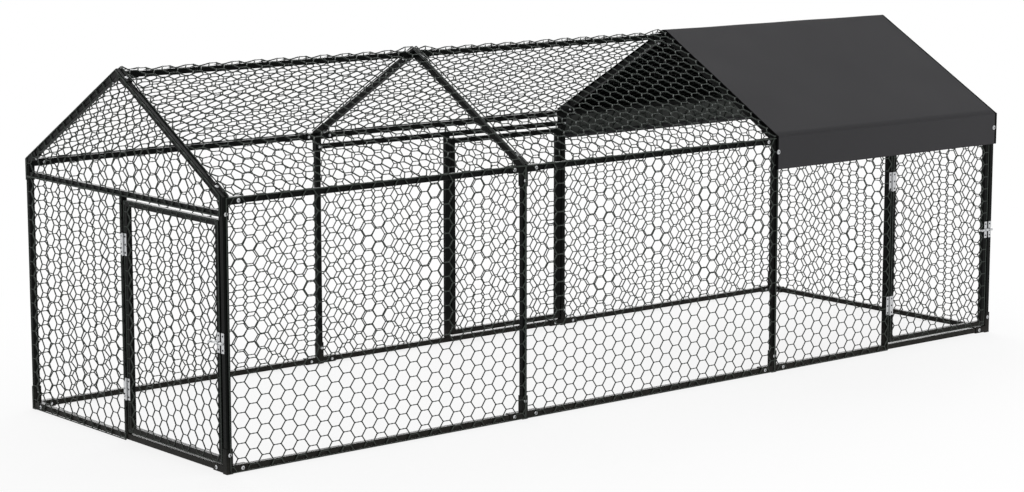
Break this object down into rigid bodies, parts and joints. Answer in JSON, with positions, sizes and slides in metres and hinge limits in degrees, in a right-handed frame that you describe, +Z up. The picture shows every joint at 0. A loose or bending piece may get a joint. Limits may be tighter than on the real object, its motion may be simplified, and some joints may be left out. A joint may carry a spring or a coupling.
{
  "type": "chicken run",
  "caption": "Long gabled poultry run of black square tube and hexagonal wire netting, with bolted corner sleeves, latched half-bay doors and a sheet cover over its end bay.",
  "frame": {"origin": "on the ground under the middle of the run", "axes": "+X along the run from the entrance end to the covered end, +Y to the rear wall, +Z up"},
  "size_m": [3.0069, 1.0308, 1.0159],
  "materials": {
    "frame_coat": "black powder coat, satin",
    "zinc_hardware": "bright zinc plate",
    "net_wire": "dark grey coated wire",
    "cover_sheet": "dark grey coated woven sheet",
    "black_plastic": "moulded black plastic"
  },
  "bodies": {
    "frame": {"foot_caps": "black_plastic", "base_corner_brackets": "frame_coat", "base_tee_brackets": "frame_coat", "eave_corner_brackets": "frame_coat", "eave_tee_brackets": "frame_coat", "ridge_end_brackets": "frame_coat", "ridge_cross_brackets": "frame_coat", "corner_posts": "frame_coat", "middle_posts": "frame_coat", "side_base_rails": "frame_coat", "end_base_rails": "frame_coat", "eave_rails": "frame_coat", "ridge_rails": "frame_coat", "rafters": "frame_coat", "end_tie_rails": "frame_coat", "door_header_rails": "frame_coat", "door_jambs": "frame_coat", "frame_bolts": "zinc_hardware", "frame_nuts": "zinc_hardware", "front_net_bay_1": "net_wire", "front_net_bay_2": "net_wire", "front_net_bay_3": "net_wire", "rear_net_bay_1": "net_wire", "rear_net_bay_2": "net_wire", "rear_net_bay_3": "net_wire", "front_roof_nets": "net_wire", "rear_roof_nets": "net_wire", "entrance_gable_net": "net_wire", "entrance_side_net": "net_wire", "closed_end_net": "net_wire", "cover_roof": "cover_sheet", "cover_front_flap": "cover_sheet", "cover_rear_flap": "cover_sheet", "cover_eyelets": "zinc_hardware", "jamb_hinge_leaves": "zinc_hardware", "hinge_pins": "zinc_hardware", "latch_keepers": "zinc_hardware", "hardware_screws": "zinc_hardware"},
    "end_door": {"end_door_frame": "frame_coat", "end_door_corner_keys": "black_plastic", "end_door_net": "net_wire", "end_door_hinge_leaves": "zinc_hardware", "end_door_latch_plate": "zinc_hardware", "end_door_screws": "zinc_hardware"},
    "rear_door": {"rear_door_frame": "frame_coat", "rear_door_corner_keys": "black_plastic", "rear_door_net": "net_wire", "rear_door_hinge_leaves": "zinc_hardware", "rear_door_latch_plate": "zinc_hardware", "rear_door_screws": "zinc_hardware"},
    "front_door": {"front_door_frame": "frame_coat", "front_door_corner_keys": "black_plastic", "front_door_net": "net_wire", "front_door_hinge_leaves": "zinc_hardware", "front_door_latch_plate": "zinc_hardware", "front_door_screws": "zinc_hardware"},
    "end_bolt": {"end_door_bolt": "zinc_hardware"},
    "rear_bolt": {"rear_door_bolt": "zinc_hardware"},
    "front_bolt": {"front_door_bolt": "zinc_hardware"}
  },
  "joints": [
    {"name": "end_door_hinge", "type": "hinge", "parent": "frame", "child": "end_door", "pos_m": [-1.4962, -0.017, 0.34311], "axis": [0, 0, -1], "range_deg": [0, 165]},
    {"name": "rear_door_hinge", "type": "hinge", "parent": "frame", "child": "rear_door", "pos_m": [0.02, 0.5032, 0.34311], "axis": [0, 0, 1], "range_deg": [0, 165]},
    {"name": "front_door_hinge", "type": "hinge", "parent": "frame", "child": "front_door", "pos_m": [1.01, -0.5032, 0.34311], "axis": [0, 0, -1], "range_deg": [0, 165], "deforming": ["cover_front_flap"]},
    {"name": "end_bolt_slide", "type": "slide", "parent": "end_door", "child": "end_bolt", "axis": [0, -1, 0], "range_m": [0, 0.0165]},
    {"name": "rear_bolt_slide", "type": "slide", "parent": "rear_door", "child": "rear_bolt", "axis": [1, 0, 0], "range_m": [0, 0.0165]},
    {"name": "front_bolt_slide", "type": "slide", "parent": "front_door", "child": "front_bolt", "axis": [1, 0, 0], "range_m": [0, 0.0165]}
  ]
}
